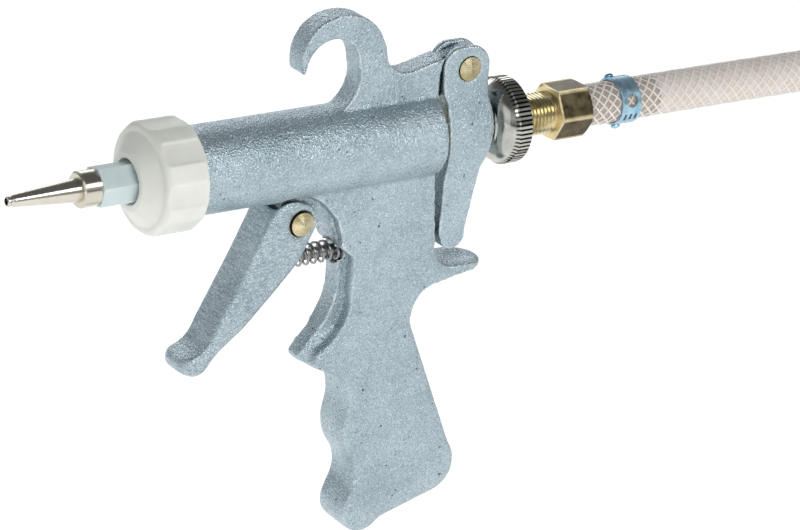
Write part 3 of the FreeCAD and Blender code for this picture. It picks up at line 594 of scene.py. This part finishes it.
BAND_THICKNESS = 0.0008
BAND_STEPS = 120
WINDOW_RADIUS = 0.0025
WINDOW_TURN = -10       # degrees round the band from where it faces
SLOT_TURN = -52
SLOT_STEP = 0.0023
SLOT_HALF_SIZES = (0.00055, 0.0014, 0.002)
RECESS_TURN = 32
RECESS_HALF_SIZES = (0.0028, 0.0022, 0.00022)
LUG_RADIUS = 0.0013
LUG_STRETCH = (1.5, 1.1, 0.8, 1.0)
LUG_PLACES = ((88, 0.6), (-92, 0.75))   # degrees, and share of the half width towards the front
LENGTHWISE = Vector((1, 0, 0))


def ring_band(name, centre, radius, half_width):
    """A closed ring about an axis along X, with rounded edges."""
    edge = BAND_THICKNESS * 0.3
    section = [(-half_width, radius - BAND_THICKNESS), (half_width, radius - BAND_THICKNESS),
               (half_width, radius - edge), (half_width - edge, radius), (-half_width + edge, radius),
               (-half_width, radius - edge)]
    vertices, faces = [], []
    for i in range(BAND_STEPS):
        angle = 2 * math.pi * i / BAND_STEPS
        vertices += [(centre.x + x, centre.y + r * math.cos(angle), centre.z + r * math.sin(angle))
                     for x, r in section]
    count = len(section)
    for i in range(BAND_STEPS):
        for k in range(count):
            here, after = i * count, (i + 1) % BAND_STEPS * count
            faces.append([here + k, after + k, after + (k + 1) % count, here + (k + 1) % count])
    return add_mesh(name, vertices, faces, smooth=False)


def band_spot(centre, radius, degrees, along=0.0):
    """A place on the band and the direction straight out from it."""
    angle = math.radians(degrees)
    outward = Vector((0.0, math.cos(angle), math.sin(angle)))
    return centre + outward * radius + LENGTHWISE * along, outward


def standing_at(place, outward):
    """The transform that stands a shape's Z axis on the band."""
    turn = Vector((0, 0, 1)).rotation_difference(outward).to_matrix().to_4x4()
    return Matrix.Translation(place) @ turn


def add_block(mesh, place, outward, sizes):
    """Adds a box to the bmesh by its half sizes lengthwise, around and out of the band."""
    axes = (LENGTHWISE, LENGTHWISE.cross(outward), outward)
    corners = []
    for sx in (-1, 1):
        for sy in (-1, 1):
            for sz in (-1, 1):
                offset = axes[0] * sx * sizes[0] + axes[1] * sy * sizes[1] + axes[2] * sz * sizes[2]
                corners.append(mesh.verts.new(place + offset))
    for quad in ((0, 1, 3, 2), (4, 6, 7, 5), (0, 4, 5, 1), (2, 3, 7, 6), (0, 2, 6, 4), (1, 5, 7, 3)):
        mesh.faces.new([corners[k] for k in quad])


def mesh_object(name, shape):
    """An object made from a bmesh, which is freed."""
    mesh = bpy.data.meshes.new(name)
    shape.to_mesh(mesh)
    shape.free()
    obj = bpy.data.objects.new(name, mesh)
    scene.collection.objects.link(obj)
    return obj


def band_punch(centre, radius, facing):
    """What the punch takes out of a band: the window, three slots and a shallow recess."""
    shape = bmesh.new()
    window = standing_at(*band_spot(centre, radius, facing + WINDOW_TURN))
    bmesh.ops.create_cone(shape, cap_ends=True, segments=40, radius1=WINDOW_RADIUS, radius2=WINDOW_RADIUS,
                          depth=0.004, matrix=window)
    for along in (-SLOT_STEP, 0.0, SLOT_STEP):
        add_block(shape, *band_spot(centre, radius, facing + SLOT_TURN, along), SLOT_HALF_SIZES)
    add_block(shape, *band_spot(centre, radius, facing + RECESS_TURN), RECESS_HALF_SIZES)
    bmesh.ops.recalc_face_normals(shape, faces=shape.faces)
    return mesh_object("punch", shape)


def band_lugs(name, centre, radius, half_width, facing):
    """The two folded lugs that stand on a band."""
    shape = bmesh.new()
    for degrees, share in LUG_PLACES:
        place, outward = band_spot(centre, radius + 0.0003, facing + degrees, share * half_width)
        bmesh.ops.create_uvsphere(shape, u_segments=20, v_segments=12, radius=LUG_RADIUS,
                                  matrix=standing_at(place, outward) @ Matrix.Diagonal(LUG_STRETCH))
    obj = mesh_object(name, shape)
    obj.data.polygons.foreach_set("use_smooth", [True] * len(obj.data.polygons))
    return obj


def clamp_band(node, body, facing):
    """A punched band and its lugs in place of the node; facing is where it faces, in degrees."""
    low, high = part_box(node)
    centre = (low + high) / 2
    radius, half_width = (high.z - low.z) / 2, (high.x - low.x) / 2
    band = ring_band(node + "_punched", centre, radius, half_width)
    punch = band_punch(centre, radius, facing)
    cut = band.modifiers.new("punched", "BOOLEAN")
    cut.operation = "DIFFERENCE"
    cut.solver = "EXACT"
    cut.object = punch
    apply_modifiers(band)
    bpy.data.meshes.remove(punch.data)
    finish_piece(band, zinc(node + "_zinc"), body, "zinc_plate", node)
    lugs = band_lugs(node + "_lugs", centre, radius, half_width, facing)
    finish_piece(lugs, zinc(node + "_lug_zinc"), body, "zinc_plate")
    return [band, lugs]


# ---------------------------------------------------------------- hose pieces

def make_hose():
    line = hose_line()
    centre = resample(line, RING_STEP)
    barb_rings = int(BARB_LENGTH / RING_STEP)
    spigot_rings = int(SPIGOT_LENGTH / RING_STEP)
    wall = tube("hose_wall", centre, HOSE_RADIUS, WALL_INNER_RADIUS, 28)
    finish_piece(wall, hose_outer("clear_pvc"), "feed", "hose_clear", "hose_lead", "hose_coil", "hose_tail")
    strands = braid("hose_braid", centre)
    finish_piece(strands, thread_white("braid_thread"), "feed", "hose_clear")
    lining = tube("hose_lining", centre[barb_rings:-spigot_rings], LINING_RADIUS, LINING_BORE, 20)
    finish_piece(lining, hose_inner("milky_pvc"), "feed", "hose_clear")
    sleeve = tube("hose_sleeve", centre[:barb_rings + 1], LINING_RADIUS, SLEEVE_BORE, 28)
    finish_piece(sleeve, hose_stretched("stretched_pvc"), "feed", "hose_clear")
    clamp_band("hose_clamp_band", "feed", 27.0)
    supply_clamp = clamp_band("supply_clamp_band", "feed", 20.0)


make_hose()


# ---------------------------------------------------------------- castings

def softened(node, body, voxel, passes, material, zones=(), slot="cast_metal"):
    """A copy of a sharp CAD solid with rounded edges: an even voxel mesh, then smoothing by zone.

    Each zone is (passes, test), and test says which points of the mesh get that many more passes."""
    mesh = NODES[node].data.copy()
    obj = bpy.data.objects.new(node + "_moulded", mesh)
    scene.collection.objects.link(obj)
    remesh = obj.modifiers.new("even", "REMESH")
    remesh.mode = "VOXEL"
    remesh.voxel_size = voxel
    remesh.use_smooth_shade = True
    apply_modifiers(obj)
    smooth = obj.modifiers.new("cast_edges", "SMOOTH")
    smooth.factor = 0.5
    smooth.iterations = passes
    for more, test in zones:
        group = obj.vertex_groups.new(name="zone")
        chosen = [v.index for v in obj.data.vertices if test(v.co)]
        group.add(chosen, 1.0, "REPLACE")
        extra = obj.modifiers.new("zone_edges", "SMOOTH")
        extra.factor = 0.5
        extra.iterations = more
        extra.vertex_group = group.name
    apply_modifiers(obj)
    obj.vertex_groups.clear()
    obj.data.polygons.foreach_set("use_smooth", [True] * len(obj.data.polygons))
    return finish_piece(obj, material, body, slot, node)


HANDLE_TOP_Z = -0.100
TOE_TOP_Z = row(0.0, 0.0, -78.0).z
TANG_CENTRE = row(-19.0, 0.0, -51.6)
DISH_RADIUS = 0.0072
DISH_DEPTH = 0.0011


def in_grip(point):
    """The handle's lower part, where the edges are rounded most."""
    return point.z < HANDLE_TOP_Z


def in_trigger_toe(point):
    """The end of the finger lever."""
    return point.z < TOE_TOP_Z


def dish_tang(obj):
    """Hollows the top of the tongue under the rear lever."""
    for vertex in obj.data.vertices:
        away = math.hypot(vertex.co.x - TANG_CENTRE.x, vertex.co.y) / DISH_RADIUS
        if away < 1.0 and abs(vertex.co.z - TANG_CENTRE.z) < DISH_DEPTH:
            vertex.co.z -= DISH_DEPTH * (1.0 - away * away) ** 2
    obj.data.update()


def make_castings():
    body = softened("gun_body", "frame", 0.0006, 7, cast_metal("cast_body"), [(75, in_grip)])
    dish_tang(body)
    softened("trigger", "trigger", 0.0004, 7, cast_metal("cast_trigger", 0.8, (500.0, 160.0, 2600.0)),
             [(130, in_trigger_toe)])
    softened("rear_lever", "lever", 0.0005, 8, cast_metal("cast_lever", 0.8))
    cap = nylon("cap_nylon", (0.80, 0.81, 0.75), (0.73, 0.74, 0.68), 0.40)
    softened("front_cap", "cap", 0.0004, 9, cap, slot="cap_nylon")


make_castings()


# ---------------------------------------------------------------- springs

def spring_piece(node, body, material):
    """A copy of a CAD spring in place of the node, with the given material, on the body."""
    obj = bpy.data.objects.new(node + "_coil", NODES[node].data.copy())
    scene.collection.objects.link(obj)
    finish_piece(obj, material, body, "spring_steel", node)
    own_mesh(obj)


def make_springs():
    wire = steel("spring_wire", (0.36, 0.36, 0.35), 0.20)
    for node, joint in (("trigger_spring", "rod_slide"), ("return_spring", "feed_slide")):
        spring_piece(node, "frame", wire)


make_springs()


# ---------------------------------------------------------------- finishes on CAD nodes

def pin_axis(node):
    """(x, z) of the middle of a pin that lies along Y."""
    low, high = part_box(node)
    return (low.x + high.x) / 2, (low.z + high.z) / 2


def dress():
    chrome = knurled_chrome("chrome", "adjusting_knob")
    nickel = plated("nickel", (0.60, 0.57, 0.49), 0.12)
    materials = {
        "trigger_pin": brass("pin_brass_front", pin_axis("trigger_pin")),
        "lever_pin": brass("pin_brass_rear", pin_axis("lever_pin")),
        "feed_tube": brass("tube_brass"),
        "valve_cone": brass("cone_brass"),
        "rear_bush": brass("bush_brass"),
        "gland_nut": brass("gland_brass"),
        "hose_connector": oxidised_brass("connector_brass", "hose_connector", 0.01097),
        "supply_spigot": brass("spigot_brass"),
        "supply_nut": oxidised_brass("nut_brass", "supply_nut", 0.00814),
        "adjusting_knob": chrome,
        "ferrule_nut": nickel,
        "nozzle_tip": plated("tip_nickel", (0.66, 0.63, 0.56), 0.12, 0.0004, 0.25),
        "nozzle_holder": nylon("stub_nylon", (0.64, 0.735, 0.74), (0.56, 0.655, 0.665), 0.5),
        "push_rod": steel("rod_steel"),
        "spring_collar": steel("collar_steel"),
        "gland_washer": steel("washer_steel"),
        "gland_packing": rubber("packing_rubber"),
        "cap_gasket": rubber("gasket_rubber"),
        "hose_clamp_housing": zinc("housing_zinc"),
        "hose_clamp_screw": zinc("screw_zinc"),
        "supply_clamp_housing": zinc("supply_housing_zinc"),
        "supply_clamp_screw": zinc("supply_screw_zinc"),
    }
    for name, material in materials.items():
        slots = NODES[name].data.materials
        if len(slots) == 0:
            slots.append(material)
        for index in range(len(slots)):
            slots[index] = material


dress()


# ---------------------------------------------------------------- stage and light

FLOOR_REACH = 10.0
FLOOR_GAP = 0.0005
WORLD_STOPS = ((0.02, 0.05), (0.10, 0.34), (0.30, 0.60), (0.50, 0.46), (0.68, 0.15), (0.92, 0.13))


def make_stage():
    floor_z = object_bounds()[0][2] - FLOOR_GAP
    corners = [(x * FLOOR_REACH, y * FLOOR_REACH, floor_z) for x, y in ((-1, -1), (1, -1), (1, 1), (-1, 1))]
    floor = add_mesh("floor", corners, [[0, 1, 2, 3]], smooth=False)
    n = Nodes("pale_floor")
    n.set(Base_Color=(0.35, 0.35, 0.35), Roughness=0.9, Emission_Color=(1.0, 1.0, 1.0),
          Emission_Strength=0.95)
    floor.data.materials.append(n.material)


def area_light(name, place, target, size, power):
    data = bpy.data.lights.new(name, "AREA")
    data.shape = "RECTANGLE"
    data.size, data.size_y = size
    data.energy = power
    light = bpy.data.objects.new(name, data)
    scene.collection.objects.link(light)
    light.location = place
    light.rotation_euler = (Vector(target) - Vector(place)).to_track_quat("-Z", "Y").to_euler()


def make_world():
    """Grey by height: dark at the horizon and overhead, bright between, for streaks on polished metal."""
    world = bpy.data.worlds.new("studio")
    scene.world = world
    world.use_nodes = True
    tree = world.node_tree
    back = tree.nodes["Background"]
    place = tree.nodes.new("ShaderNodeTexCoord")
    parts = tree.nodes.new("ShaderNodeSeparateXYZ")
    ramp = tree.nodes.new("ShaderNodeValToRGB")
    tree.links.new(place.outputs["Generated"], parts.inputs[0])
    tree.links.new(parts.outputs[2], ramp.inputs[0])
    tree.links.new(ramp.outputs[0], back.inputs[0])
    elements = ramp.color_ramp.elements
    while len(elements) < len(WORLD_STOPS):
        elements.new(0.5)
    for element, (position, grey) in zip(elements, WORLD_STOPS):
        element.position = position
        element.color = (grey * 0.97, grey, grey * 1.03, 1.0)
    back.inputs[1].default_value = 1.0


def make_light():
    make_world()
    target = (0.0, 0.0, -0.05)
    area_light("key", (-0.25, 1.35, 0.95), target, (1.1, 0.6), 12.0)
    area_light("fill", (1.25, 0.55, 0.35), target, (0.9, 1.1), 1.6)
    area_light("back", (-0.4, -1.4, 0.55), target, (1.4, 0.6), 5.0)


make_stage()
make_light()
scene.view_settings.view_transform = "Standard"
